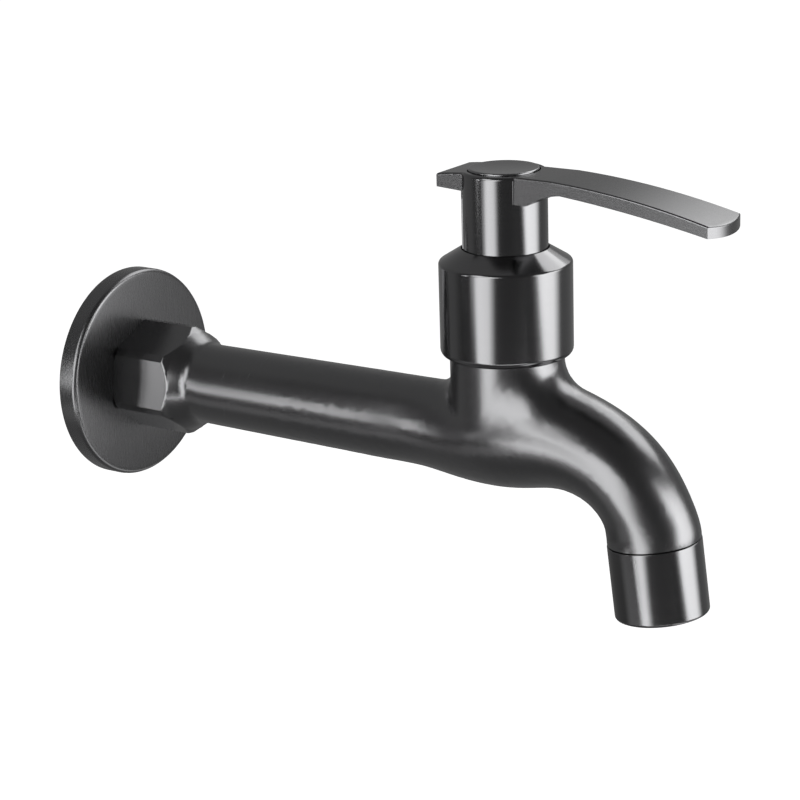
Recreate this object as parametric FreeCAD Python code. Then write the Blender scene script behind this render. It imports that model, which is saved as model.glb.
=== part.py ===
import FreeCAD, Part
import math
import os

# A wall-mounted cold tap for a washing machine. A long forged body carries the
# valve chamber and the bent spout. A quarter-turn headwork with two ceramic
# discs sits under a turned sleeve, a lever works it, and a screwed outlet cap
# holds the flow straightener.
#
# Sizes are in millimetres. X runs out of the wall along the inlet, Y runs
# across and Z is up. The origin is where the inlet axis meets the wall. The
# lever lies over the spout, which is its closed place.

# Main places
VALVE_REACH = 130.8
SPOUT_REACH = 174.4
SPOUT_DROP = 21.1
SPOUT_TILT = 7.0
SHOULDER_HEIGHT = 22.75
SLEEVE_HEIGHT = 28.5
HUB_HEIGHT = 20.25

# Fits and gaps, measured on the radius
RUNNING_FIT = 0.05
THREAD_FIT = 0.04
PRESS_LINE = 0.02
LOOSE_HOLE = 0.2
SHOWN_GAP = 0.3

# How far a cutting shape passes the surface that it cuts, how close an edge
# lies to the surface it belongs to, and how upright an upper face's normal is
PASS = 1.0
NEAR = 0.01
SEAM_REACH = 0.1
STEEP = 0.8

# Wall flange
FLANGE_RADIUS = 30.1
FLANGE_DEPTH = 6.4
FLANGE_SHEET = 1.2
FLANGE_BEND = 1.3

# Inlet thread and hexagon
PIPE_THREAD_RADIUS = 10.4775
INLET_THREAD_LENGTH = 15.0
THREAD_CHAMFER = 0.9
THREAD_RELIEF_LENGTH = 6.0
THREAD_RELIEF_RADIUS = 9.6
BOSS_RADIUS = 15.6
BOSS_CHAMFER = 0.6
HEXAGON_ACROSS_FLATS = 28.0
HEXAGON_LENGTH = 17.6
DOME_SHOULDER = 1.4
DOME_LENGTH = 8.2
DOME_CROWN = 0.3
DOME_CORNER = 5.0

# Tube, valve chamber, neck and spout
TUBE_RADIUS_AT_WALL = 11.1
TUBE_RADIUS_AT_CHAMBER = 11.95
CHAMBER_RUN_IN = 24.0
RUN_IN_HEIGHT_SHARE = 0.35
RUN_IN_WIDTH_SHARE = 0.45
CHAMBER_HALF_HEIGHT = 15.4
CHAMBER_LIFT = 1.9
CHAMBER_CHEEK = 0.3
NECK_RADIUS = 15.0
NECK_WEDGE = 45.0
ROOT_BLEND_AT_SPOUT = 9.9
ROOT_BLEND_NEAR_SPOUT = 20.0
ROOT_BLEND_AT_SIDE = 40.0
ROOT_BLEND_NEAR_TUBE = 14.0
ROOT_BLEND_AT_TUBE = 7.0
SPIGOT_RADIUS = 14.0
SPIGOT_LENGTH = 9.25
SPOUT_FORWARD_PULL = 33.2
SPOUT_UPWARD_PULL = 4.3
SPOUT_OUTLET_PULL = 10.4
SPOUT_WAIST = 2.1
SPOUT_END_RADIUS = 12.2
OVAL_POINTS = 12
TUBE_SECTIONS = 8
SPOUT_SECTIONS = 5

# Waterways
INLET_BORE_RADIUS = 7.25
LOW_PASSAGE_RADIUS = 4.0
LOW_PASSAGE_DROP = 2.9
BORE_END_WALL = 4.8
SEAT_HEIGHT = 3.5
SEAT_HOLE_RADIUS = 5.0
CHAMBER_BORE_RADIUS = 10.2
SPOUT_BORE_RADIUS = 5.6
SPOUT_BORE_BEND = 31.0
SPOUT_BORE_OVERLAP = 2.0
OUTLET_BORE_RADIUS = 8.4

# Headwork housing
HEADWORK_THREAD_LENGTH = 11.0
COLLAR_RADIUS = 13.2
COLLAR_THICKNESS = 2.0
GASKET_THICKNESS = 1.0
SPANNER_ACROSS_FLATS = 19.0
SPANNER_HEIGHT = 6.0
TOP_BARREL_RADIUS = 7.4
TOP_BARREL_HEIGHT = 2.5
CAGE_RADIUS = 9.2
CAGE_WALL = 1.2
WINDOW_WIDTH = 8.0
KEY_WIDTH = 2.4
KEY_DEPTH = 0.75

# Discs and seat seal
SEAL_THICKNESS = 2.2
SEAL_STANDOUT = 1.0
SEAL_WIDTH = 2.0
DISC_THICKNESS = 3.2
PORT_INNER_RADIUS = 1.8
PORT_OUTER_RADIUS = 5.6
PORT_ANGLE = 75.0

# Spindle
STEM_RADIUS = 4.95
DRIVER_HEIGHT = 3.0
DRIVER_WIDTH = 4.0
TONGUE_DEPTH = 1.2
SPINDLE_FLANGE = 1.6
STOP_ANGLE = 90.0
STOP_WIDTH = 20.0
STOP_PLAY = 0.5
QUARTER_TURN = 90.0
NOTCH_DEPTH = 1.1
WASHER_THICKNESS = 0.5
RING_SECTION = 1.5
RING_PITCH = 5.0
CLIP_THICKNESS = 0.8
CLIP_RADIUS = 6.4
CLIP_GROOVE_DEPTH = 0.75
CLIP_OPENING = 60.0
STEM_ABOVE_CLIP = 1.2
SPLINE_TEETH = 20
SPLINE_RADIUS = 4.0
SPLINE_TOOTH = 0.45
SPLINE_LENGTH = 14.5

# Sleeve
SLEEVE_RADIUS = 17.42
SLEEVE_WALL = 1.9
SLEEVE_THREAD_LENGTH = 6.5
SLEEVE_FOOT_ROUND = 1.9
SLEEVE_CONE_HEIGHT = 3.7
SLEEVE_CONE_EDGE = 0.6

# Handle
HUB_RADIUS = 11.14
HUB_RIM_ROUND = 0.9
LEVER_HALF_WIDTH = 7.8
LEVER_TIP_HALF_WIDTH = 8.6
LEVER_DEPTH = 7.1
LEVER_LENGTH = 64.8
LEVER_TIP_DROP = 7.5
LEVER_TIP_THICKNESS = 2.9
LEVER_CROWN = 1.3
LEVER_FOOT_CROWN = 0.65
LEVER_LEVEL = 6.5
LEVER_TIP_BOW = 2.0
LEVER_EDGE = 0.6
HAUNCH_LENGTH = 10.0
HAUNCH_DROP = 0.6
HAUNCH_THICKNESS = 2.9
HAUNCH_CROWN = 0.7
TAIL_LENGTH = 15.6
TAIL_THICKNESS = 4.5
TAIL_DROOP = 1.0
CAP_RADIUS = 9.18
CAP_THICKNESS = 2.0
CAP_PROUD = 0.55
CAP_EDGE = 0.5
CAP_STEM_RADIUS = 4.6
CAP_STEM_LENGTH = 1.2
SCREW_RADIUS = 2.0
SCREW_LENGTH = 14.0
SCREW_HEAD_RADIUS = 3.5
SCREW_HEAD_HEIGHT = 2.2
SCREW_SLOT_WIDTH = 0.9
SCREW_SLOT_DEPTH = 1.2

# Outlet cap and flow straightener
OUTLET_THREAD_LENGTH = 9.0
OUTLET_CAP_RADIUS = 12.33
OUTLET_CAP_LENGTH = 19.9
OUTLET_CAP_ROUND = 0.8
OUTLET_CAP_EDGE = 0.2
OUTLET_LIP_HEIGHT = 3.0
OUTLET_LIP_RADIUS = 9.3
OUTLET_WASHER_HOLE = 8.0
OUTLET_WASHER_HEIGHT = 2.0
FILTER_RIM = 0.8
FILTER_DOME_RADIUS = 6.6
FILTER_CROWN_RADIUS = 4.0
FILTER_EYE_RADIUS = 2.2
FILTER_DOME_HEIGHT = 3.2
FILTER_WALL = 0.7
FILTER_SLOTS = 8
FILTER_SLOT_WIDTH = 0.8
JET_PLATE = 1.2
JET_HOLES = 12
JET_HOLE_RADIUS = 0.6
JET_CIRCLE_RADIUS = 5.4
CORE_WALL = 1.2
GRID_THICKNESS = 1.6
GRID_PITCH = 2.8
GRID_RIB = 0.7
SCREEN_THICKNESS = 0.4

# Heights that follow from the sizes above, measured from the inlet axis
neck_top = SHOULDER_HEIGHT + SPIGOT_LENGTH
collar_foot = neck_top + GASKET_THICKNESS
spanner_foot = collar_foot + COLLAR_THICKNESS
spanner_top = spanner_foot + SPANNER_HEIGHT
housing_top = spanner_top + TOP_BARREL_HEIGHT
housing_foot = SEAT_HEIGHT + SEAL_STANDOUT
seal_top = SEAT_HEIGHT + SEAL_THICKNESS
fixed_disc_top = seal_top + DISC_THICKNESS
moving_disc_top = fixed_disc_top + DISC_THICKNESS
flange_foot = moving_disc_top + DRIVER_HEIGHT
flange_top = flange_foot + SPINDLE_FLANGE
ledge_height = flange_top + WASHER_THICKNESS
clip_top = housing_top + CLIP_THICKNESS
hub_foot = clip_top + STEM_ABOVE_CLIP
sleeve_top = SHOULDER_HEIGHT + SLEEVE_HEIGHT
hub_top = sleeve_top + HUB_HEIGHT
spindle_top = hub_foot + SPLINE_LENGTH
slot_floor = hub_top - LEVER_DEPTH
cap_top = hub_top + CAP_PROUD
cap_seat = cap_top - CAP_THICKNESS
screw_top = cap_seat - CAP_STEM_LENGTH
screw_seat = screw_top - SCREW_HEAD_HEIGHT

# Radii and reaches that follow from the sizes above
cage_bore = CAGE_RADIUS - CAGE_WALL
key_radius = cage_bore - KEY_DEPTH
turning_radius = key_radius - RUNNING_FIT
notch_radius = turning_radius - NOTCH_DEPTH
stem_bore = STEM_RADIUS + RUNNING_FIT
clip_groove_radius = STEM_RADIUS - CLIP_GROOVE_DEPTH
hexagon_front = FLANGE_DEPTH + HEXAGON_LENGTH
dome_front = hexagon_front + DOME_LENGTH
dome_start = hexagon_front + DOME_SHOULDER
relief_start = FLANGE_DEPTH - THREAD_RELIEF_LENGTH
tube_start = hexagon_front - BOSS_CHAMFER
tube_end = VALVE_REACH - CHAMBER_RUN_IN
bore_end = VALVE_REACH - CHAMBER_BORE_RADIUS - BORE_END_WALL
chamber_half_width = NECK_RADIUS + CHAMBER_CHEEK
cap_pocket_radius = CAP_RADIUS + SHOWN_GAP
cap_hole_radius = CAP_STEM_RADIUS + PRESS_LINE
screw_thread_radius = SCREW_RADIUS + THREAD_FIT
screw_hole_radius = SCREW_RADIUS + LOOSE_HOLE
pipe_socket_radius = PIPE_THREAD_RADIUS + THREAD_FIT

# Depths below the spout's end, along the outlet
washer_end = OUTLET_THREAD_LENGTH + OUTLET_WASHER_HEIGHT
core_start = washer_end + FILTER_RIM
lip_start = OUTLET_CAP_LENGTH - OUTLET_LIP_HEIGHT
core_radius = pipe_socket_radius - RUNNING_FIT
nose_radius = OUTLET_LIP_RADIUS - RUNNING_FIT
core_bore = nose_radius - CORE_WALL
grid_start = OUTLET_CAP_LENGTH - RUNNING_FIT - GRID_THICKNESS
screen_start = grid_start - SCREEN_THICKNESS

ALONG = FreeCAD.Vector(1, 0, 0)
ACROSS = FreeCAD.Vector(0, 1, 0)
UP = FreeCAD.Vector(0, 0, 1)
ORIGIN = FreeCAD.Vector(0, 0, 0)


def point(x, z, y=0.0):
    """A place, given along, up and, where it is off the middle, across."""
    return FreeCAD.Vector(x, y, z)


class Outline:
    """A closed outline in the XZ plane, drawn from point to point."""

    def __init__(self, x, z):
        self.start = point(x, z)
        self.here = self.start
        self.edges = []

    def line(self, x, z):
        """Draw straight to a point."""
        end = point(x, z)
        self.edges.append(Part.LineSegment(self.here, end).toShape())
        self.here = end
        return self

    def arc(self, through_x, through_z, x, z):
        """Draw an arc through one point to another."""
        end = point(x, z)
        middle = point(through_x, through_z)
        self.edges.append(Part.Arc(self.here, middle, end).toShape())
        self.here = end
        return self

    def corner(self, centre_x, centre_z, x, z):
        """Draw the shorter arc about a centre to a point."""
        centre = point(centre_x, centre_z)
        end = point(x, z)
        halfway = (self.here - centre) + (end - centre)
        middle = centre + halfway.normalize() * (end - centre).Length
        return self.arc(middle.x, middle.z, x, z)

    def face(self):
        """Close the outline and fill it."""
        if (self.here - self.start).Length > NEAR:
            self.line(self.start.x, self.start.z)
        return Part.Face(Part.Wire(self.edges))


def turned(outline):
    """Turn an outline of radius and height about the upright axis."""
    return outline.face().revolve(ORIGIN, UP, 360)


def turned_along(outline):
    """Turn an outline of reach and radius about the inlet axis."""
    return outline.face().revolve(ORIGIN, ALONG, 360)


def rod(radius, foot, top):
    """Upright bar on the axis."""
    return Part.makeCylinder(radius, top - foot, point(0, foot))


def ring(inner, outer, foot, top):
    """Upright ring on the axis."""
    return rod(outer, foot, top).cut(rod(inner, foot, top))


def bar(length, width, foot, top):
    """Upright block with its middle on the axis."""
    return Part.makeBox(length, width, top - foot, point(-length / 2, foot, -width / 2))


def sector(inner, outer, foot, top, middle_angle, width_angle):
    """Upright block between two radii and two angles."""
    slice_of_ring = Part.makeCylinder(outer, top - foot, point(0, foot), UP, width_angle)
    slice_of_ring.rotate(ORIGIN, UP, middle_angle - width_angle / 2)
    return slice_of_ring.cut(rod(inner, foot, top)) if inner else slice_of_ring


def hexagon(across_flats, start, axis, length, corner_direction):
    """Six-sided bar from a start point along an axis, one corner given."""
    side_direction = axis.cross(corner_direction)
    corner_radius = across_flats / math.sqrt(3)
    corners = []
    for index in range(7):
        turn = math.radians(60 * index)
        spoke = corner_direction * math.cos(turn) + side_direction * math.sin(turn)
        corners.append(start + spoke * corner_radius)
    return Part.Face(Part.makePolygon(corners)).extrude(axis * length)


def spline_bar(radius, foot, top):
    """Bar with straight teeth, for the spindle's head and the hub's bore."""
    corners = []
    for index in range(2 * SPLINE_TEETH + 1):
        turn = math.pi * index / SPLINE_TEETH
        reach = radius - SPLINE_TOOTH * (index % 2)
        corners.append(point(reach * math.cos(turn), foot, reach * math.sin(turn)))
    return Part.Face(Part.makePolygon(corners)).extrude(UP * (top - foot))


def on_valve_axis(shape):
    """Move a piece from the origin to the valve axis."""
    return shape.translated(point(VALVE_REACH, 0))


def at_outlet(shape):
    """Hang a piece under the spout's end, its depths measured downwards."""
    flipped = shape.rotated(ORIGIN, ALONG, 180)
    tilted = flipped.rotated(ORIGIN, ACROSS, -SPOUT_TILT)
    return tilted.translated(point(SPOUT_REACH, -SPOUT_DROP))


def outlet_direction():
    """Direction in which water leaves the spout."""
    lean = math.radians(SPOUT_TILT)
    return point(math.sin(lean), -math.cos(lean))


def mix(start, end, share):
    """Value at a share of the way between two values."""
    return start + (end - start) * share


def oval(centre, direction, half_height, half_width):
    """Oval section square to a direction, with its seam underneath."""
    down = ACROSS.cross(direction)
    rim = []
    for index in range(OVAL_POINTS):
        turn = 2 * math.pi * index / OVAL_POINTS
        low = down * (half_height * math.cos(turn))
        rim.append(centre + low + ACROSS * (half_width * math.sin(turn)))
    curve = Part.BSplineCurve()
    curve.interpolate(Points=rim, Parameters=list(range(OVAL_POINTS + 1)), PeriodicFlag=True)
    return Part.Wire(curve.toShape())


class Bend:
    """Curve that leads from a start smoothly into the spout's outlet."""

    def __init__(self, start, start_pull, outlet_pull):
        end = point(SPOUT_REACH, -SPOUT_DROP)
        self.poles = [start, start + start_pull, end - outlet_direction() * outlet_pull, end]

    def place(self, share):
        """Point at a share of the way."""
        first, second, third, last = self.poles
        rest = 1 - share
        curve = first * rest**3 + second * (3 * rest**2 * share)
        return curve + third * (3 * rest * share**2) + last * share**3

    def direction(self, share):
        """Unit direction at a share of the way."""
        first, second, third, last = self.poles
        rest = 1 - share
        slope = (second - first) * rest**2 + (third - second) * (2 * rest * share)
        return (slope + (last - third) * share**2).normalize()


def tube_radius(reach):
    """Outer radius of the tube at a distance from the wall."""
    return mix(TUBE_RADIUS_AT_WALL, TUBE_RADIUS_AT_CHAMBER, reach / tube_end)


def boss():
    """Hexagon with its domed front."""
    back = FLANGE_DEPTH
    front_radius = tube_radius(dome_front) - DOME_CORNER / 2
    shoulder_radius = BOSS_RADIUS - DOME_SHOULDER
    middle_reach = mix(dome_start, dome_front, 0.5)
    middle_radius = mix(shoulder_radius, front_radius, 0.5)
    outline = Outline(back, 0)
    outline.line(back, BOSS_RADIUS - BOSS_CHAMFER)
    outline.line(back + BOSS_CHAMFER, BOSS_RADIUS)
    outline.line(hexagon_front, BOSS_RADIUS)
    outline.line(dome_start, shoulder_radius)
    outline.arc(middle_reach + DOME_CROWN, middle_radius + DOME_CROWN, dome_front, front_radius)
    outline.line(dome_front, 0)
    flats = hexagon(HEXAGON_ACROSS_FLATS, point(back, 0), ALONG, dome_front - back, UP)
    return turned_along(outline).common(flats)


def inlet_stub():
    """Threaded end that goes through the flange into the wall."""
    start = -INLET_THREAD_LENGTH
    outline = Outline(start, 0)
    outline.line(start, PIPE_THREAD_RADIUS - THREAD_CHAMFER)
    outline.line(start + THREAD_CHAMFER, PIPE_THREAD_RADIUS)
    outline.line(relief_start, PIPE_THREAD_RADIUS)
    outline.line(relief_start + THREAD_CHAMFER, THREAD_RELIEF_RADIUS)
    outline.line(FLANGE_DEPTH, THREAD_RELIEF_RADIUS)
    outline.line(FLANGE_DEPTH, 0)
    return turned_along(outline)


def tube_and_spout():
    """Tube, valve chamber and bent spout, as one skin through oval sections."""
    sections = []
    for index in range(TUBE_SECTIONS):
        reach = mix(tube_start, tube_end, index / (TUBE_SECTIONS - 1))
        sections.append(oval(point(reach, 0), ALONG, tube_radius(reach), tube_radius(reach)))
    run_in_height = mix(TUBE_RADIUS_AT_CHAMBER, CHAMBER_HALF_HEIGHT, RUN_IN_HEIGHT_SHARE)
    run_in_width = mix(TUBE_RADIUS_AT_CHAMBER, chamber_half_width, RUN_IN_WIDTH_SHARE)
    run_in = point(mix(tube_end, VALVE_REACH, 0.5), 0)
    sections.append(oval(run_in, ALONG, run_in_height, run_in_width))
    spout_pull = point(SPOUT_FORWARD_PULL, SPOUT_UPWARD_PULL)
    bend = Bend(point(VALVE_REACH, CHAMBER_LIFT), spout_pull, SPOUT_OUTLET_PULL)
    for index in range(SPOUT_SECTIONS):
        share = index / (SPOUT_SECTIONS - 1)
        narrowing = SPOUT_WAIST * 4 * share * (1 - share)
        half_height = mix(CHAMBER_HALF_HEIGHT, SPOUT_END_RADIUS, share) - narrowing
        half_width = mix(chamber_half_width, SPOUT_END_RADIUS, share) - narrowing / 2
        sections.append(oval(bend.place(share), bend.direction(share), half_height, half_width))
    return Part.makeLoft(sections, True)


def neck_wedges():
    """Neck in eight wedges, which split its root where the rounding changes."""
    wedges = []
    for index in range(round(360 / NECK_WEDGE)):
        start_angle = NECK_WEDGE * index
        middle_angle = start_angle + NECK_WEDGE / 2
        wedge = sector(0, NECK_RADIUS, CHAMBER_LIFT, SHOULDER_HEIGHT, middle_angle, NECK_WEDGE)
        wedges.append(on_valve_axis(wedge))
    return wedges


def root_blend(spot):
    """Rounding at a place on the neck's root, wide at the sides and tight in line."""
    blends = [
        ROOT_BLEND_AT_SPOUT,
        ROOT_BLEND_NEAR_SPOUT,
        ROOT_BLEND_AT_SIDE,
        ROOT_BLEND_NEAR_TUBE,
        ROOT_BLEND_AT_TUBE,
    ]
    angle = math.degrees(math.atan2(abs(spot.y), spot.x - VALVE_REACH))
    step = min(int(angle / NECK_WEDGE), len(blends) - 2)
    return mix(blends[step], blends[step + 1], angle / NECK_WEDGE - step)


def rounded_neck_root(shape):
    """Round the root of the neck with a radius that changes round it."""
    rounded_edges = []
    for number, edge in enumerate(shape.Edges, 1):
        spots = edge.discretize(9)
        around_valve = [math.hypot(spot.x - VALVE_REACH, spot.y) for spot in spots]
        on_neck = all(abs(radius - NECK_RADIUS) < NEAR for radius in around_valve)
        if on_neck and max(spot.z for spot in spots) < SHOULDER_HEIGHT - NEAR:
            rounded_edges.append((number, root_blend(spots[0]), root_blend(spots[-1])))
    sheet = FreeCAD.newDocument()
    sharp = sheet.addObject("Part::Feature")
    sharp.Shape = shape
    rounded = sheet.addObject("Part::Fillet")
    rounded.Base = sharp
    rounded.Edges = rounded_edges
    sheet.recompute()
    result = rounded.Shape.copy()
    FreeCAD.closeDocument(sheet.Name)
    return result


def rounded_dome_root(shape):
    """Round the corner behind the dome."""
    seam = []
    for edge in shape.Edges:
        spots = edge.discretize(9)
        off_tube = [math.hypot(spot.y, spot.z) - tube_radius(spot.x) for spot in spots]
        on_dome = all(dome_start < spot.x < dome_front for spot in spots)
        if on_dome and max(abs(gap) for gap in off_tube) < SEAM_REACH:
            seam.append(edge)
    return shape.makeFillet(DOME_CORNER, seam)


def spout_bore():
    """Bore that leaves the side of the chamber and bends down to the outlet."""
    outlet = outlet_direction()
    height = SEAT_HEIGHT + SPOUT_BORE_RADIUS
    start = point(VALVE_REACH + CHAMBER_BORE_RADIUS - SPOUT_BORE_OVERLAP, height)
    end = point(SPOUT_REACH, -SPOUT_DROP)
    corner = end - outlet * ((end.z - height) / outlet.z)
    run = SPOUT_BORE_BEND * math.tan(math.acos(outlet.x) / 2)
    bend_start = corner - ALONG * run
    bend_end = corner + outlet * run
    centre = bend_start - UP * SPOUT_BORE_BEND
    bend_middle = centre + (corner - centre).normalize() * SPOUT_BORE_BEND
    first_run = Part.LineSegment(start, bend_start).toShape()
    bend = Part.Arc(bend_start, bend_middle, bend_end).toShape()
    last_run = Part.LineSegment(bend_end, end).toShape()
    section = Part.Wire(Part.makeCircle(SPOUT_BORE_RADIUS, start, ALONG))
    return Part.Wire([first_run, bend, last_run]).makePipeShell([section], True, True)


def waterways():
    """Bores from the inlet, under the seat, through the chamber and down the spout."""
    inlet_length = bore_end + INLET_THREAD_LENGTH
    inlet = Part.makeCylinder(INLET_BORE_RADIUS, inlet_length, point(-INLET_THREAD_LENGTH, 0), ALONG)
    low_start = point(bore_end - PASS, -LOW_PASSAGE_DROP)
    low_length = VALVE_REACH - low_start.x
    low_passage = Part.makeCylinder(LOW_PASSAGE_RADIUS, low_length, low_start, ALONG)
    seat_hole = on_valve_axis(rod(SEAT_HOLE_RADIUS, -LOW_PASSAGE_DROP, SEAT_HEIGHT))
    chamber = on_valve_axis(rod(CHAMBER_BORE_RADIUS, SEAT_HEIGHT, neck_top))
    thread = on_valve_axis(rod(pipe_socket_radius, neck_top - HEADWORK_THREAD_LENGTH, neck_top))
    outlet = at_outlet(rod(OUTLET_BORE_RADIUS, 0, OUTLET_THREAD_LENGTH))
    return [inlet, low_passage, seat_hole, chamber, thread, spout_bore(), outlet]


def tap_body():
    """The forged body with its outer form and its waterways."""
    spigot = on_valve_axis(rod(SPIGOT_RADIUS, SHOULDER_HEIGHT, neck_top))
    outlet_stub = at_outlet(rod(PIPE_THREAD_RADIUS, 0, OUTLET_THREAD_LENGTH))
    outer = rounded_neck_root(tube_and_spout().fuse([*neck_wedges(), boss()]))
    outer = rounded_dome_root(outer.removeSplitter())
    outer = outer.fuse([inlet_stub(), spigot, outlet_stub])
    for bore in waterways():
        outer = outer.cut(bore)
    return outer.removeSplitter()


def wall_flange():
    """Pressed cover plate, open towards the wall."""
    hole = PIPE_THREAD_RADIUS + LOOSE_HOLE
    front_bend = FLANGE_DEPTH - FLANGE_BEND
    rim_bend = FLANGE_RADIUS - FLANGE_BEND
    inner_face = FLANGE_DEPTH - FLANGE_SHEET
    inner_rim = FLANGE_RADIUS - FLANGE_SHEET
    outline = Outline(0, inner_rim)
    outline.line(0, FLANGE_RADIUS)
    outline.line(front_bend, FLANGE_RADIUS)
    outline.corner(front_bend, rim_bend, FLANGE_DEPTH, rim_bend)
    outline.line(FLANGE_DEPTH, hole)
    outline.line(inner_face, hole)
    outline.line(inner_face, rim_bend)
    outline.corner(front_bend, rim_bend, front_bend, inner_rim)
    return turned_along(outline)


def valve_sleeve():
    """Turned cover with its thread at the foot and a conical shoulder."""
    thread = SPIGOT_RADIUS + THREAD_FIT
    inside = SLEEVE_RADIUS - SLEEVE_WALL
    thread_top = SHOULDER_HEIGHT + SLEEVE_THREAD_LENGTH
    cone_foot = sleeve_top - SLEEVE_CONE_HEIGHT
    mouth = HUB_RADIUS + SHOWN_GAP
    outline = Outline(thread, SHOULDER_HEIGHT)
    outline.line(SLEEVE_RADIUS - SLEEVE_FOOT_ROUND, SHOULDER_HEIGHT)
    foot_centre = SHOULDER_HEIGHT + SLEEVE_FOOT_ROUND
    outline.corner(SLEEVE_RADIUS - SLEEVE_FOOT_ROUND, foot_centre, SLEEVE_RADIUS, foot_centre)
    outline.line(SLEEVE_RADIUS, cone_foot - SLEEVE_CONE_EDGE)
    outline.line(SLEEVE_RADIUS - SLEEVE_CONE_EDGE, cone_foot + SLEEVE_CONE_EDGE / 2)
    outline.line(mouth, sleeve_top)
    outline.line(mouth, sleeve_top - SLEEVE_WALL)
    outline.line(inside, cone_foot - SLEEVE_WALL)
    outline.line(inside, thread_top)
    outline.line(thread, thread_top)
    return on_valve_axis(turned(outline))


def headwork_housing():
    """Housing with its thread, spanner flats, disc cage, keys and stop."""
    outer = rod(CAGE_RADIUS, housing_foot, neck_top)
    outer = outer.fuse(rod(PIPE_THREAD_RADIUS, neck_top - HEADWORK_THREAD_LENGTH, collar_foot))
    outer = outer.fuse(rod(COLLAR_RADIUS, collar_foot, spanner_foot))
    outer = outer.fuse(hexagon(SPANNER_ACROSS_FLATS, point(0, spanner_foot), UP, SPANNER_HEIGHT, ALONG))
    outer = outer.fuse(rod(TOP_BARREL_RADIUS, spanner_top, housing_top))
    inner = rod(cage_bore, housing_foot, ledge_height).fuse(rod(stem_bore, ledge_height, housing_top))
    window = bar(2 * CAGE_RADIUS + PASS, WINDOW_WIDTH, moving_disc_top, flange_foot)
    stop_radius = notch_radius + RUNNING_FIT
    stop_foot = flange_foot + RUNNING_FIT
    stop = sector(stop_radius, cage_bore + CAGE_WALL / 2, stop_foot, ledge_height, STOP_ANGLE, STOP_WIDTH)
    housing = outer.cut(inner).cut(window).fuse(stop)
    return on_valve_axis(housing.fuse(disc_keys()).removeSplitter())


def disc_keys():
    """Two ribs in the cage that hold the fixed disc."""
    across = bar(KEY_WIDTH, 2 * cage_bore + CAGE_WALL, seal_top, fixed_disc_top)
    return across.cut(rod(key_radius, seal_top, fixed_disc_top))


def headwork_gasket():
    """Flat ring between the collar and the neck."""
    return on_valve_axis(ring(pipe_socket_radius, COLLAR_RADIUS, neck_top, collar_foot))


def seat_seal():
    """Rubber ring that presses the fixed disc's underside to the seat."""
    outer = cage_bore - RUNNING_FIT
    return on_valve_axis(ring(outer - SEAL_WIDTH, outer, SEAT_HEIGHT, seal_top))


def ports(foot, top, middle_angle):
    """Two ports opposite each other through a disc."""
    first = sector(PORT_INNER_RADIUS, PORT_OUTER_RADIUS, foot, top, middle_angle, PORT_ANGLE)
    return [first, first.rotated(ORIGIN, UP, 180)]


def fixed_disc():
    """Ceramic disc, notched for the two keys of the cage."""
    disc = rod(cage_bore - RUNNING_FIT, seal_top, fixed_disc_top)
    notch = bar(KEY_WIDTH + 2 * RUNNING_FIT, 2 * cage_bore, seal_top, fixed_disc_top)
    notch = notch.cut(rod(key_radius - RUNNING_FIT, seal_top, fixed_disc_top))
    return on_valve_axis(disc.cut(notch).cut(ports(seal_top, fixed_disc_top, 0)))


def moving_disc():
    """Ceramic disc with a slot for the spindle's tongue."""
    disc = rod(turning_radius, fixed_disc_top, moving_disc_top)
    slot_width = DRIVER_WIDTH + 2 * RUNNING_FIT
    slot = bar(2 * turning_radius, slot_width, moving_disc_top - TONGUE_DEPTH, moving_disc_top)
    disc = disc.cut(ports(fixed_disc_top, moving_disc_top, QUARTER_TURN))
    return on_valve_axis(disc.cut(slot))


def spindle():
    """Stem with its driver, stop flange, seal grooves, clip groove and spline."""
    driver = bar(2 * turning_radius, DRIVER_WIDTH, moving_disc_top - TONGUE_DEPTH, flange_foot)
    driver = driver.common(rod(turning_radius, moving_disc_top - TONGUE_DEPTH, flange_foot))
    flange = rod(turning_radius, flange_foot, flange_top)
    notch_angle = QUARTER_TURN + STOP_WIDTH + 2 * STOP_PLAY
    notch_middle = STOP_ANGLE - QUARTER_TURN / 2
    notch = sector(notch_radius, CAGE_RADIUS, flange_foot, flange_top, notch_middle, notch_angle)
    stem = rod(STEM_RADIUS, flange_top, hub_foot)
    for height in ring_heights():
        stem = stem.cut(ring(ring_groove_radius(), STEM_RADIUS, height, height + RING_SECTION))
    stem = stem.cut(ring(clip_groove_radius, STEM_RADIUS, housing_top, clip_top))
    head = spline_bar(SPLINE_RADIUS, hub_foot, spindle_top)
    whole = driver.fuse([flange.cut(notch), stem, head])
    thread_foot = screw_seat - SCREW_LENGTH
    whole = whole.cut(rod(screw_thread_radius, thread_foot, spindle_top))
    return on_valve_axis(whole.removeSplitter())


def ring_groove_radius():
    """Radius at the bottom of a seal groove in the stem."""
    return STEM_RADIUS - RING_SECTION + RUNNING_FIT


def ring_heights():
    """Feet of the two seal grooves."""
    lower = ledge_height + RING_PITCH / 2
    return [lower, lower + RING_PITCH]


def spindle_o_ring(foot):
    """Rubber ring that fills its groove."""
    section = (STEM_RADIUS - ring_groove_radius()) / 2
    middle = ring_groove_radius() + section
    circle = Part.makeTorus(middle, section, point(0, foot + RING_SECTION / 2))
    return on_valve_axis(circle)


def thrust_washer():
    """Low-friction ring between the spindle's flange and the housing."""
    return on_valve_axis(ring(stem_bore, notch_radius, flange_top, ledge_height))


def spindle_clip():
    """Open retaining ring in its groove, on top of the housing."""
    clip = ring(clip_groove_radius + PRESS_LINE, CLIP_RADIUS, housing_top, clip_top)
    opening = sector(NEAR, CLIP_RADIUS + PASS, housing_top, clip_top, 0, CLIP_OPENING)
    return on_valve_axis(clip.cut(opening))


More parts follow.
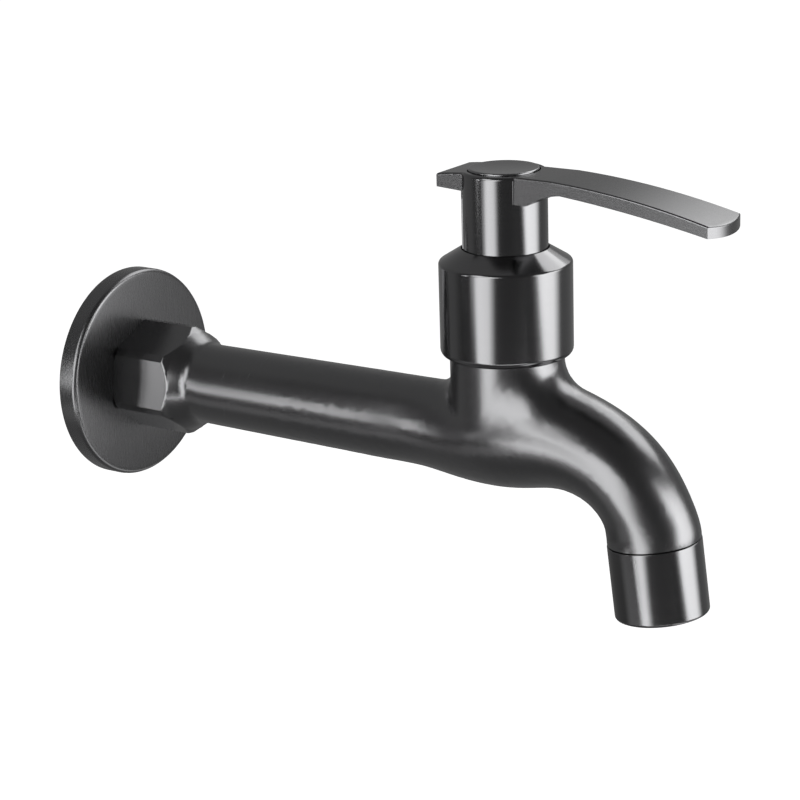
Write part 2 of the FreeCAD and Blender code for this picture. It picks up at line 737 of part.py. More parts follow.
def handle_hub():
    """Turned hub with its slot for the lever and its splined bore."""
    rim_foot = hub_top - HUB_RIM_ROUND
    outline = Outline(0, hub_foot)
    outline.line(HUB_RADIUS, hub_foot)
    outline.line(HUB_RADIUS, rim_foot)
    outline.corner(HUB_RADIUS - HUB_RIM_ROUND, rim_foot, HUB_RADIUS - HUB_RIM_ROUND, hub_top)
    outline.line(0, hub_top)
    hub = turned(outline)
    hub = hub.cut(bar(2 * HUB_RADIUS + PASS, 2 * LEVER_HALF_WIDTH, slot_floor, hub_top))
    hub = hub.cut(rod(cap_pocket_radius, cap_seat, hub_top))
    hub = hub.cut(spline_bar(SPLINE_RADIUS + THREAD_FIT, hub_foot, spindle_top))
    return on_valve_axis(hub.cut(rod(screw_hole_radius, spindle_top, slot_floor)))


def lever_profile():
    """Side view of the lever, from the tail to the tip."""
    tip_top = hub_top - LEVER_TIP_DROP
    tip_foot = tip_top - LEVER_TIP_THICKNESS
    tip_reach = LEVER_LENGTH + PASS
    arm_start = HUB_RADIUS + LEVER_LEVEL
    haunch_end = HUB_RADIUS + HAUNCH_LENGTH
    haunch_foot = hub_top - HAUNCH_DROP - HAUNCH_THICKNESS
    haunch_middle = mix(HUB_RADIUS, haunch_end, 0.5)
    haunch_bow = mix(slot_floor, haunch_foot, 0.5) + HAUNCH_CROWN
    foot_middle = mix(haunch_end, tip_reach, 0.5)
    foot_bow = mix(haunch_foot, tip_foot, 0.5) + LEVER_FOOT_CROWN
    arm_middle = mix(arm_start, tip_reach, 0.5)
    arm_bow = mix(hub_top, tip_top, 0.5) + LEVER_CROWN
    tail_foot = hub_top - TAIL_THICKNESS
    outline = Outline(0, slot_floor)
    outline.line(HUB_RADIUS, slot_floor)
    outline.arc(haunch_middle, haunch_bow, haunch_end, haunch_foot)
    outline.arc(foot_middle, foot_bow, tip_reach, tip_foot)
    outline.line(tip_reach, tip_top)
    outline.arc(arm_middle, arm_bow, arm_start, hub_top)
    outline.line(0, hub_top)
    outline.arc(-TAIL_LENGTH / 2, hub_top - TAIL_DROOP / 4, -TAIL_LENGTH, hub_top - TAIL_DROOP)
    outline.line(-TAIL_LENGTH, tail_foot)
    outline.line(0, tail_foot - TAIL_DROOP)
    return outline.face()


def lever_plan():
    """Lever seen from above, widening to its bowed tip."""
    corner = LEVER_LENGTH - LEVER_TIP_BOW
    half = [
        point(-TAIL_LENGTH, 0, -LEVER_HALF_WIDTH),
        point(HUB_RADIUS, 0, -LEVER_HALF_WIDTH),
        point(corner, 0, -LEVER_TIP_HALF_WIDTH),
    ]
    other_half = [point(place.x, 0, -place.y) for place in reversed(half)]
    edges = [Part.LineSegment(start, end).toShape() for start, end in zip(half, half[1:])]
    edges.append(Part.Arc(half[-1], point(LEVER_LENGTH, 0), other_half[0]).toShape())
    edges += [Part.LineSegment(start, end).toShape() for start, end in zip(other_half, other_half[1:])]
    edges.append(Part.LineSegment(other_half[-1], half[0]).toShape())
    return Part.Face(Part.Wire(edges))


def rounded_above(blade):
    """Round the rim of the lever's upper face."""
    upper_edges = []
    for face in blade.Faces:
        u_start, u_end, v_start, v_end = face.ParameterRange
        normal = face.normalAt(mix(u_start, u_end, 0.5), mix(v_start, v_end, 0.5))
        if normal.z > STEEP:
            upper_edges += face.Edges
    rim = []
    for edge in upper_edges:
        uses = [other for other in upper_edges if other.isSame(edge)]
        if len(uses) == 1:
            rim.append(edge)
    return blade.makeFillet(LEVER_EDGE, rim)


def handle_lever():
    """Lever with its tail, its seat in the slot and the pocket for the cap."""
    width = 2 * LEVER_TIP_HALF_WIDTH
    side = lever_profile().extrude(ACROSS * width).translated(ACROSS * -LEVER_TIP_HALF_WIDTH)
    plan_foot = hub_top - LEVER_TIP_DROP - LEVER_DEPTH
    plan = lever_plan().extrude(UP * (hub_top - plan_foot)).translated(point(0, plan_foot))
    seat = rod(HUB_RADIUS, slot_floor, hub_top - TAIL_THICKNESS)
    seat = seat.common(bar(2 * HUB_RADIUS, 2 * LEVER_HALF_WIDTH, slot_floor, hub_top))
    blade = rounded_above(side.common(plan))
    lever = blade.fuse(seat).removeSplitter()
    lever = lever.cut(rod(cap_pocket_radius, cap_seat, hub_top))
    lever = lever.cut(rod(cap_hole_radius, screw_seat, cap_seat))
    return on_valve_axis(lever.cut(rod(screw_hole_radius, slot_floor, screw_seat)))


def handle_screw():
    """Slotted screw that holds the lever and the hub on the spindle."""
    shank = rod(SCREW_RADIUS, screw_seat - SCREW_LENGTH, screw_seat)
    head = rod(SCREW_HEAD_RADIUS, screw_seat, screw_top)
    slot = bar(2 * SCREW_HEAD_RADIUS, SCREW_SLOT_WIDTH, screw_top - SCREW_SLOT_DEPTH, screw_top)
    return on_valve_axis(shank.fuse(head).cut(slot))


def handle_cap():
    """Round cap with a short stem that snaps into the lever."""
    outline = Outline(0, screw_top)
    outline.line(CAP_STEM_RADIUS, screw_top)
    outline.line(CAP_STEM_RADIUS, cap_seat)
    outline.line(CAP_RADIUS, cap_seat)
    outline.line(CAP_RADIUS, cap_top - CAP_EDGE)
    outline.corner(CAP_RADIUS - CAP_EDGE, cap_top - CAP_EDGE, CAP_RADIUS - CAP_EDGE, cap_top)
    outline.line(0, cap_top)
    return on_valve_axis(turned(outline))


def aerator_housing():
    """Outlet cap, threaded inside, with a lip that holds the core."""
    round_start = OUTLET_CAP_LENGTH - OUTLET_CAP_ROUND
    round_radius = OUTLET_CAP_RADIUS - OUTLET_CAP_ROUND
    outline = Outline(pipe_socket_radius, 0)
    outline.line(OUTLET_CAP_RADIUS - OUTLET_CAP_EDGE, 0)
    outline.line(OUTLET_CAP_RADIUS, OUTLET_CAP_EDGE)
    outline.line(OUTLET_CAP_RADIUS, round_start)
    outline.corner(round_radius, round_start, round_radius, OUTLET_CAP_LENGTH)
    outline.line(OUTLET_LIP_RADIUS, OUTLET_CAP_LENGTH)
    outline.line(OUTLET_LIP_RADIUS, lip_start)
    outline.line(pipe_socket_radius, lip_start)
    return at_outlet(turned(outline))


def aerator_washer():
    """Rubber ring between the spout's end and the strainer."""
    return at_outlet(ring(OUTLET_WASHER_HOLE, core_radius, OUTLET_THREAD_LENGTH, washer_end))


def aerator_filter():
    """Domed strainer with slots, its rim on the core."""
    crown = core_start - FILTER_DOME_HEIGHT
    outside = Part.makeCone(FILTER_CROWN_RADIUS, FILTER_DOME_RADIUS, FILTER_DOME_HEIGHT, point(0, crown))
    inside = outside.translated(point(0, FILTER_WALL))
    rim = ring(FILTER_DOME_RADIUS - FILTER_WALL, core_radius, washer_end, core_start)
    strainer = outside.cut(inside).fuse(rim)
    for index in range(FILTER_SLOTS // 2):
        slot = bar(2 * FILTER_DOME_RADIUS, FILTER_SLOT_WIDTH, crown, washer_end)
        slot = slot.cut(rod(FILTER_EYE_RADIUS, crown, washer_end))
        strainer = strainer.cut(slot.rotated(ORIGIN, UP, 360 * index / FILTER_SLOTS))
    return at_outlet(strainer)


def aerator_core():
    """Core with its ring of jets above and its outlet grid below."""
    body = rod(core_radius, core_start, lip_start)
    body = body.fuse(rod(nose_radius, lip_start, grid_start + GRID_THICKNESS))
    body = body.cut(rod(core_bore, core_start + JET_PLATE, grid_start))
    for index in range(JET_HOLES):
        turn = 2 * math.pi * index / JET_HOLES
        place = point(math.cos(turn), 0, math.sin(turn)) * JET_CIRCLE_RADIUS
        jet = rod(JET_HOLE_RADIUS, core_start, core_start + JET_PLATE)
        body = body.cut(jet.translated(place))
    return at_outlet(body.cut(outlet_grid()).removeSplitter())


def outlet_grid():
    """Square openings between the ribs of the outlet grid."""
    opening = GRID_PITCH - GRID_RIB
    reach = int(core_bore / GRID_PITCH)
    openings = []
    for column in range(-reach, reach + 1):
        for row in range(-reach, reach + 1):
            far_along = abs(column) * GRID_PITCH + opening / 2
            far_across = abs(row) * GRID_PITCH + opening / 2
            if math.hypot(far_along, far_across) < core_bore:
                hole = bar(opening, opening, grid_start, grid_start + GRID_THICKNESS)
                openings.append(hole.translated(point(column * GRID_PITCH, 0, row * GRID_PITCH)))
    return openings


def aerator_screen():
    """Fine mesh disc on the grid."""
    return at_outlet(rod(core_bore - RUNNING_FIT, screen_start, grid_start))


def build():
    """Write each piece as a file of its own."""
    os.makedirs("parts", exist_ok=True)
    lower_ring, upper_ring = ring_heights()
    pieces = {
        "tap_body": tap_body(),
        "wall_flange": wall_flange(),
        "valve_sleeve": valve_sleeve(),
        "headwork_housing": headwork_housing(),
        "headwork_gasket": headwork_gasket(),
        "seat_seal": seat_seal(),
        "fixed_disc": fixed_disc(),
        "moving_disc": moving_disc(),
        "spindle": spindle(),
        "spindle_o_ring_lower": spindle_o_ring(lower_ring),
        "spindle_o_ring_upper": spindle_o_ring(upper_ring),
        "thrust_washer": thrust_washer(),
        "spindle_clip": spindle_clip(),
        "handle_hub": handle_hub(),
        "handle_lever": handle_lever(),
        "handle_screw": handle_screw(),
        "handle_cap": handle_cap(),
        "aerator_housing": aerator_housing(),
        "aerator_washer": aerator_washer(),
        "aerator_filter": aerator_filter(),
        "aerator_core": aerator_core(),
        "aerator_screen": aerator_screen(),
    }
    for name, solid in pieces.items():
        solid.exportStep(os.path.join("parts", name + ".step"))
        print(name, solid.isValid(), len(solid.Solids), round(solid.Volume, 1))


build()
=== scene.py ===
import logging
import math
from dataclasses import dataclass, field
from enum import Enum
from typing import Callable, Sequence

import bmesh
import bpy
from mathutils import Matrix, Vector


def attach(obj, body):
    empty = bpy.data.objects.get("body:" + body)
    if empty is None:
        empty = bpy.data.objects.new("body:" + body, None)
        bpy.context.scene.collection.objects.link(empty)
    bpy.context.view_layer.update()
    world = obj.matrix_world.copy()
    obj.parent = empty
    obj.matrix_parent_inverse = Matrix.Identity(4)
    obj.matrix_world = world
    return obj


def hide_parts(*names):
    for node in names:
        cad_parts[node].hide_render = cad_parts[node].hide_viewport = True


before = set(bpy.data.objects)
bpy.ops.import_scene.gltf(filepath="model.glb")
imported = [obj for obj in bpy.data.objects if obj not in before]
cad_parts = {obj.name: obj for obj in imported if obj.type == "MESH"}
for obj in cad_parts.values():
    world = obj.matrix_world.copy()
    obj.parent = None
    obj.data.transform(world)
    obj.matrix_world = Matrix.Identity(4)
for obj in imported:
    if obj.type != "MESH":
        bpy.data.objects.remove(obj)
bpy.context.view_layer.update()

log = logging.getLogger("tap")

Ring = tuple[float, float]
Colour = tuple[float, float, float]
Test = Callable[[Vector], bool]

MM = 0.001

# Sizes that several pieces share, in millimetres and radians
VALVE_REACH = 130.8
FLANGE_DEPTH = 6.4
SPOUT_REACH = 174.4
SPOUT_DROP = 21.1
SPOUT_TILT = math.radians(7.0)

# How often the lines of a fine tool repeat, per metre
FINE = 5200.0

# Triangles of a CAD node's copy that meet at less than this are one flat face, in radians
FLAT = math.radians(0.05)

# Its edges that are sharper than this stay crisp, in degrees
CRISP = 32.0

# How closely a corner of a turned edge has to lie on it, in millimetres
NEAR = 1e-3

# Numbers of the Mix node's colour sockets
LOW_COLOUR = 6
HIGH_COLOUR = 7
MIXED_COLOUR = 2

WHITE = (1.0, 1.0, 1.0, 1.0)
FULL_RAMP = ((0.0, 0.0), (1.0, 1.0))


class Place(Enum):
    """Where a piece that was drawn upright at the origin belongs."""

    INLET = Matrix.Rotation(math.pi / 2, 4, "Y")
    VALVE = Matrix.Translation((VALVE_REACH * MM, 0, 0))
    OUTLET = (
        Matrix.Translation((SPOUT_REACH * MM, 0, -SPOUT_DROP * MM))
        @ Matrix.Rotation(-SPOUT_TILT, 4, "Y")
        @ Matrix.Rotation(math.pi, 4, "X")
    )


class Brush(Enum):
    """Which way a brush ran: how often its lines repeat along X, Y and Z, per metre."""

    ACROSS_TUBE = (FINE, 140.0, 140.0)
    ALONG_LEVER = (140.0, FINE, FINE)
    UPRIGHT = (FINE, FINE, 120.0)


# Shader maths


class Signal:
    """A shader output that takes part in sums, so that a finish reads as arithmetic."""

    def __init__(self, board: "Board", socket: bpy.types.NodeSocket) -> None:
        """Wrap one output of a node that lies on a board."""
        self.board = board
        self.socket = socket

    def __add__(self, other: "Signal | float") -> "Signal":
        """Sum."""
        return self.board.maths("ADD", self, other)

    __radd__ = __add__

    def __sub__(self, other: "Signal | float") -> "Signal":
        """Difference."""
        return self.board.maths("SUBTRACT", self, other)

    def __rsub__(self, other: "Signal | float") -> "Signal":
        """Difference, taken from a number."""
        return self.board.maths("SUBTRACT", other, self)

    def __mul__(self, other: "Signal | float") -> "Signal":
        """Product."""
        return self.board.maths("MULTIPLY", self, other)

    __rmul__ = __mul__

    def __pow__(self, other: "Signal | float") -> "Signal":
        """Power."""
        return self.board.maths("POWER", self, other)


class Board:
    """The node board of one material, world or lamp."""

    def __init__(self, tree: bpy.types.NodeTree) -> None:
        """Clear a node tree to build in."""
        self.tree = tree
        tree.nodes.clear()

    def add(
        self, kind: str, settings: dict | None = None, inputs: dict | None = None
    ) -> bpy.types.Node:
        """Add one node.

        Args:
            kind: The node's type without its ShaderNode prefix.
            settings: Its settings, set first; "stops" fills a colour ramp.
            inputs: Values or signals of its sockets, by name or number.

        Returns:
            The new node.
        """
        node = self.tree.nodes.new("ShaderNode" + kind)
        for name, value in (settings or {}).items():
            if name == "stops":
                ramp = node.color_ramp
                while len(ramp.elements) < len(value):
                    ramp.elements.new(1.0)
                for stop, (place, shade) in zip(ramp.elements, value):
                    stop.position = place
                    stop.color = (shade, shade, shade, 1.0)
            else:
                setattr(node, name, value)
        for name, value in (inputs or {}).items():
            if isinstance(value, Signal):
                self.tree.links.new(value.socket, node.inputs[name])
            else:
                node.inputs[name].default_value = value
        return node

    def maths(self, operation: str, *values: "Signal | float") -> Signal:
        """Result of a Math node, from its operation and its one or two operands."""
        node = self.add("Math", {"operation": operation}, dict(enumerate(values)))
        return self.out(node)

    def out(self, node: bpy.types.Node, name: str | int = 0) -> Signal:
        """Take one of a node's outputs."""
        return Signal(self, node.outputs[name])

    def place(self) -> Signal:
        """Place on the piece, in metres."""
        return self.out(self.add("TexCoord"), "Object")

    def stretched(self, place: Signal, repeats: Sequence[float]) -> Signal:
        """Scale a place, each axis by its own number."""
        inputs = {0: place, 1: tuple(repeats)}
        return self.out(self.add("VectorMath", {"operation": "MULTIPLY"}, inputs))

    def apart(self, place: Signal) -> tuple[Signal, Signal, Signal]:
        """Take a vector apart into its three numbers."""
        node = self.add("SeparateXYZ", None, {0: place})
        return self.out(node, 0), self.out(node, 1), self.out(node, 2)

    def joined(self, *parts: "Signal | float") -> Signal:
        """Join three numbers into a vector."""
        return self.out(self.add("CombineXYZ", None, dict(enumerate(parts))))

    def noise(
        self, place: Signal, scale: float = 1.0, detail: float = 2.0, rough: float = 0.5
    ) -> Signal:
        """Smooth noise between 0 and 1."""
        inputs = {"Vector": place, "Scale": scale, "Detail": detail, "Roughness": rough}
        return self.out(self.add("TexNoise", None, inputs))

    def ramp(self, value: Signal, stops: Sequence[Ring] = FULL_RAMP) -> Signal:
        """Grey ramp from place and shade pairs, or just a value kept between 0 and 1."""
        return self.out(self.add("ValToRGB", {"stops": stops}, {"Fac": value}))

    def tinted(self, share: Signal, low: Sequence[float], high: Sequence[float]) -> Signal:
        """Colour between two colours, at a share of the way."""
        inputs = {"Factor": share, LOW_COLOUR: (*low, 1.0), HIGH_COLOUR: (*high, 1.0)}
        return self.out(self.add("Mix", {"data_type": "RGBA"}, inputs), MIXED_COLOUR)

    def bump(self, height: Signal, depth: float) -> Signal:
        """Normal from a height map, its full range worth a depth in metres."""
        return self.out(self.add("Bump", None, {"Height": height, "Distance": depth}), "Normal")

    def glow(self, strength: Signal) -> Signal:
        """White light of a strength."""
        return self.out(self.add("Emission", None, {"Color": WHITE, "Strength": strength}))

    def surface(self, colour: Signal, rough: Signal, normal: Signal, metallic: float = 1.0) -> None:
        """Finish the board with a Principled surface."""
        inputs = {"Base Color": colour, "Metallic": metallic, "Roughness": rough, "Normal": normal}
        self.finish("Material", self.out(self.add("BsdfPrincipled", None, inputs)))

    def finish(self, kind: str, shader: Signal) -> None:
        """Lead a shader to the output of a Material, World or Light."""
        self.add("Output" + kind, None, {"Surface": shader})


def blank_material(name: str) -> tuple[bpy.types.Material, Board]:
    """Make a material with nothing on its board.

    Args:
        name: The material's name.

    Returns:
        The material and its board.
    """
    material = bpy.data.materials.new(name)
    material.use_nodes = True
    return material, Board(material.node_tree)


# Finishes


@dataclass(frozen=True)
class Finish:
    """A finish that can be put on pieces."""

    name: str

    def paint(self, board: Board) -> None:
        """Draw the finish on a board."""
        raise NotImplementedError

    def material(self) -> bpy.types.Material:
        """Make the material.

        Returns:
            The material, made once and then shared.
        """
        found = bpy.data.materials.get(self.name)
        if found is None:
            found, board = blank_material(self.name)
            self.paint(board)
        return found

    def dress(self, piece: bpy.types.Object) -> None:
        """Give a piece this finish all over.

        Args:
            piece: A new piece or a CAD node's object.
        """
        if not piece.material_slots:
            piece.data.materials.append(self.material())
        for slot in piece.material_slots:
            slot.link = "OBJECT"
            slot.material = self.material()


@dataclass(frozen=True)
class GunMetal(Finish):
    """Dark grey coating over finely worked brass.

    Attributes:
        shade: Reflectance of the coating.
        rough: Its roughness.
        groove: Depth of the lines left by the last tool, in metres.
        spread: How far the shade strays, as a share of it.
        blue: How much bluer than grey it is.
        line_share: Share of the straying that follows the lines.
        line_dulling: How much the roughness changes with the lines.
        cloud_dulling: How much it changes with the clouding.
    """

    shade: float = 0.15
    rough: float = 0.19
    groove: float = 2e-6
    spread: float = 0.1
    blue: float = 1.02
    line_share: float = 0.6
    line_dulling: float = 0.06
    cloud_dulling: float = 0.05
    cloud_scale: float = 30.0

    def lines(self, board: Board, place: Signal) -> Signal:
        """Draw the lines of the last tool, between 0 and 1."""
        raise NotImplementedError

    def tint(self, share: float) -> Colour:
        """Colour of the coating at a share of its shade."""
        grey = self.shade * share
        return grey, grey, grey * self.blue

    def paint(self, board: Board) -> None:
        """Draw the coating over its lines, with a faint clouding.

        Args:
            board: The material's board.
        """
        place = board.place()
        lines = self.lines(board, place)
        clouds = board.noise(place, scale=self.cloud_scale, detail=3.0)
        stray = lines * self.line_share + clouds * (1.0 - self.line_share)
        colour = board.tinted(stray, self.tint(1.0 - self.spread), self.tint(1.0 + self.spread))
        rough = self.rough + (lines - 0.5) * self.line_dulling + (clouds - 0.5) * self.cloud_dulling
        board.surface(colour, rough, board.bump(lines, self.groove))


@dataclass(frozen=True)
class TurnedMetal(GunMetal):
    """Gun metal over brass that was turned on a lathe.

    Attributes:
        axis: The axis that it was turned about.
        pitch: How often its rings repeat, per metre.
        drift: How often they change on the way round, per metre.
    """

    axis: Place = Place.VALVE
    pitch: float = FINE
    drift: float = 50.0

    def lines(self, board: Board, place: Signal) -> Signal:
        """Draw fine rings round the axis, on walls and end faces alike.

        Args:
            board: The material's board.
            place: Place on the piece.

        Returns:
            The lines, between 0 and 1.
        """
        inputs = {
            "Vector": place,
            "Location": self.axis.value.translation,
            "Rotation": self.axis.value.to_euler(),
        }
        mapping = board.add("Mapping", {"vector_type": "TEXTURE"}, inputs)
        across, aside, along = board.apart(board.out(mapping))
        radius = (across * across + aside * aside) ** 0.5
        outward = radius * self.pitch + across * self.drift
        rings = board.joined(outward, aside * self.drift, along * self.pitch)
        return board.noise(rings, detail=3.0, rough=0.6)


@dataclass(frozen=True)
class BrushedMetal(GunMetal):
    """Gun metal over brass that was brushed by hand or on a belt.

    Attributes:
        brush: Which way the lines run.
    """

    brush: Brush = Brush.UPRIGHT

    def lines(self, board: Board, place: Signal) -> Signal:
        """Draw straight fine lines."""
        return board.noise(board.stretched(place, self.brush.value), detail=3.0, rough=0.6)


@dataclass(frozen=True)
class RawBrass(Finish):
    """Bare turned brass of the working parts.

    Attributes:
        rough: Its least roughness.
        mark_dulling: Roughness that the tool's marks add.
        patch_dulling: Roughness that the patches add.
        mark_repeats: How often the marks repeat along X, Y and Z, per metre.
        groove: Depth of the marks, in metres.
    """

    dark: Colour = (0.48, 0.31, 0.10)
    light: Colour = (0.66, 0.45, 0.17)
    rough: float = 0.2
    mark_dulling: float = 0.12
    patch_dulling: float = 0.1
    mark_repeats: tuple[float, float, float] = (60.0, 60.0, FINE)
    patch_scale: float = 160.0
    groove: float = 5e-6

    def paint(self, board: Board) -> None:
        """Draw the yellow metal with its tool marks and patches.

        Args:
            board: The material's board.
        """
        place = board.place()
        marks = board.noise(board.stretched(place, self.mark_repeats))
        patches = board.noise(place, scale=self.patch_scale, detail=4.0)
        colour = board.tinted(patches, self.dark, self.light)
        rough = self.rough + marks * self.mark_dulling + patches * self.patch_dulling
        board.surface(colour, rough, board.bump(marks, self.groove))


@dataclass(frozen=True)
class BrightSteel(Finish):
    """Stainless steel of the screw, the clip and the screen.

    Attributes:
        rough: Its least roughness.
        dulling: Roughness that the grain adds.
        repeats: How often the grain repeats along X, Y and Z, per metre.
        groove: Depth of the grain, in metres.
    """

    dark: Colour = (0.46, 0.46, 0.47)
    light: Colour = (0.6, 0.6, 0.6)
    rough: float = 0.2
    dulling: float = 0.16
    repeats: tuple[float, float, float] = (3000.0, 400.0, 3000.0)
    groove: float = 3e-6

    def paint(self, board: Board) -> None:
        """Draw the steel with a fine rolled grain.

        Args:
            board: The material's board.
        """
        grain = board.noise(board.stretched(board.place(), self.repeats))
        colour = board.tinted(grain, self.dark, self.light)
        rough = self.rough + grain * self.dulling
        board.surface(colour, rough, board.bump(grain, self.groove))


@dataclass(frozen=True)
class Moulded(Finish):
    """Moulded or sintered non-metal: rubber, ceramic or plastic.

    Attributes:
        shade: Its colour.
        rough: Its roughness.
        groove: Depth of its surface grain, in metres.
        darker: Its darkest shade, as a share of its colour.
        lighter: Its lightest shade, as a share of its colour.
        dulling: How much the roughness changes with the grain.
    """

    shade: Colour
    rough: float
    groove: float
    darker: float = 0.9
    lighter: float = 1.08
    dulling: float = 0.12
    grain_scale: float = 2400.0
    cloud_scale: float = 150.0

    def paint(self, board: Board) -> None:
        """Draw the colour with fine grain and slight clouding.

        Args:
            board: The material's board.
        """
        place = board.place()
        grain = board.noise(place, scale=self.grain_scale)
        clouds = board.noise(place, scale=self.cloud_scale, detail=3.0)
        low = [part * self.darker for part in self.shade]
        high = [part * self.lighter for part in self.shade]
        colour = board.tinted(clouds, low, high)
        rough = self.rough + (grain - 0.5) * self.dulling
        board.surface(colour, rough, board.bump(grain, self.groove), metallic=0.0)


FORGED = BrushedMetal("gun_metal_forged", rough=0.25, groove=1.2e-6, brush=Brush.ACROSS_TUBE)
PLATE = BrushedMetal("gun_metal_plate", rough=0.27, groove=1.3e-6)
SLEEVE = TurnedMetal("gun_metal_sleeve", rough=0.155, groove=1.8e-6)
HUB = TurnedMetal("gun_metal_hub", rough=0.155, groove=1.8e-6)
LEVER = BrushedMetal("gun_metal_lever", rough=0.24, groove=1.5e-6, brush=Brush.ALONG_LEVER)
# The cap's coating is painted lighter than the other gun metal, a painted highlight for how the
# light falls on its dish
CAP = TurnedMetal("gun_metal_cap_painted_lighter", shade=0.21, rough=0.2, groove=1.6e-6)
NOZZLE = TurnedMetal("gun_metal_nozzle", rough=0.155, groove=1.8e-6, axis=Place.OUTLET)
THREAD = TurnedMetal("gun_metal_thread", rough=0.26, axis=Place.INLET)
BRASS = RawBrass("raw_brass_turned")
STEEL = BrightSteel("bright_steel")
RUBBER = Moulded("black_rubber", (0.02, 0.02, 0.021), rough=0.62, groove=8e-6)
CERAMIC = Moulded("disc_ceramic", (0.78, 0.76, 0.7), rough=0.22, groove=1e-6)
PLASTIC = Moulded("white_plastic_moulded", (0.78, 0.79, 0.79), rough=0.4, groove=3e-6)


# Modelling


class Bench:
    """One new piece on the bench, modelled with the usual hand tools."""

    def __init__(self, name: str) -> None:
        """Take the object that was just added and name it."""
        self.piece = bpy.context.active_object
        self.piece.name = self.piece.data.name = name

    @staticmethod
    def clear() -> None:
        """Leave edit mode and deselect everything."""
        if bpy.context.mode != "OBJECT":
            bpy.ops.object.mode_set(mode="OBJECT")
        bpy.ops.object.select_all(action="DESELECT")

    @classmethod
    def turned(cls, name: str, rings: Sequence[Ring], points: int = 160) -> "Bench":
        """Draw a ring and extrude it through more rings.

        Args:
            name: The piece's name.
            rings: Radius and height of each ring, in millimetres.
            points: How many corners a ring has.

        Returns:
            The bench, in edit mode with the last ring picked.
        """
        cls.clear()
        radius, height = rings[0]
        bpy.ops.mesh.primitive_circle_add(
            vertices=points, radius=radius * MM, location=(0, 0, height * MM)
        )
        bpy.ops.object.transform_apply(location=True, rotation=True, scale=True)
        bench = cls(name)
        bpy.ops.object.mode_set(mode="EDIT")
        bpy.ops.mesh.select_all(action="SELECT")
        for next_radius, next_height in rings[1:]:
            rise = (next_height - height) * MM
            bpy.ops.mesh.extrude_region_move(TRANSFORM_OT_translate={"value": (0, 0, rise)})
            share = next_radius / radius
            middle = (0, 0, next_height * MM)
            bpy.ops.transform.resize(value=(share, share, 1), center_override=middle)
            radius, height = next_radius, next_height
        return bench

    @classmethod
    def copy(cls, name: str, node: str) -> "Bench":
        """Start from a copy of a CAD node's mesh, its corners and flat faces joined up.

        Args:
            name: The piece's name.
            node: The CAD node.

        Returns:
            The bench, in edit mode.
        """
        cls.clear()
        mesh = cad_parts[node].data.copy()
        piece = bpy.data.objects.new(name, mesh)
        bpy.context.collection.objects.link(piece)
        bpy.context.view_layer.objects.active = piece
        piece.select_set(True)
        bench = cls(name)
        mesh.materials.clear()
        bpy.ops.mesh.customdata_custom_splitnormals_clear()
        bpy.ops.object.mode_set(mode="EDIT")
        bpy.ops.mesh.select_all(action="SELECT")
        bpy.ops.mesh.remove_doubles(threshold=1e-7)
        bpy.ops.mesh.dissolve_limited(angle_limit=FLAT, use_dissolve_boundaries=False)
        return bench

    @staticmethod
    def pick_none() -> None:
        """Get ready to pick edges."""
        bpy.ops.mesh.select_mode(type="EDGE")
        bpy.ops.mesh.select_all(action="DESELECT")

    def join_ends(self) -> None:
        """Close a ring-shaped wall between its first and last ring."""
        self.pick_none()
        bpy.ops.mesh.select_non_manifold()
        bpy.ops.mesh.bridge_edge_loops()

    def fill_ends(self) -> None:
        """Close a solid bar's two ends."""
        self.pick_none()
        bpy.ops.mesh.select_non_manifold()
        bpy.ops.mesh.edge_face_add()

    def pick(self, test: Test, sharp: float | None = None) -> None:
        """Select edges by the place of their corners.

        Args:
            test: Says whether a corner's place, in millimetres, belongs.
            sharp: If given, only edges sharper than this are taken, in degrees.
        """
        self.pick_none()
        if sharp is not None:
            bpy.ops.mesh.edges_select_sharp(sharpness=math.radians(sharp))
        mesh = bmesh.from_edit_mesh(self.piece.data)
        for edge in mesh.edges:
            wanted = sharp is None or edge.select
            edge.select_set(wanted and all(test(corner.co / MM) for corner in edge.verts))
        bmesh.update_edit_mesh(self.piece.data)

    def soften(self, size: float, steps: int, clamp: bool = False) -> None:
        """Round the picked edges.

        Args:
            size: Width of the rounding, in millimetres.
            steps: How many strips it has.
            clamp: Whether it stops at the neighbouring edges.
        """
        bpy.ops.mesh.bevel(
            offset=size * MM, segments=steps, profile=0.5, affect="EDGES", clamp_overlap=clamp
        )

    def soften_ring(self, ring: Ring, size: float, steps: int) -> None:
        """Round a turned edge.

        Args:
            ring: Radius and height of the edge.
            size: Width of the rounding, in millimetres.
            steps: How many strips it has.
        """
        radius, height = ring

        def on_ring(spot: Vector) -> bool:
            """Whether a place lies on the turned edge."""
            reach = math.hypot(spot.x, spot.y)
            return abs(spot.z - height) < NEAR and abs(reach - radius) < NEAR

        self.pick(on_ring)
        self.soften(size, steps)

    def cut_off(self, along: float) -> None:
        """Take off what lies behind a place along X, in millimetres."""
        bpy.ops.mesh.select_all(action="SELECT")
        bpy.ops.mesh.bisect(plane_co=(along * MM, 0, 0), plane_no=(1, 0, 0), clear_inner=True)

    def reshape(self, rule: Callable[[Vector], Vector]) -> None:
        """Move every corner of the mesh.

        Args:
            rule: Gives a corner's new place for its old one, in millimetres.
        """
        mesh = bmesh.from_edit_mesh(self.piece.data)
        for corner in mesh.verts:
            corner.co = rule(corner.co / MM) * MM
        bmesh.update_edit_mesh(self.piece.data)

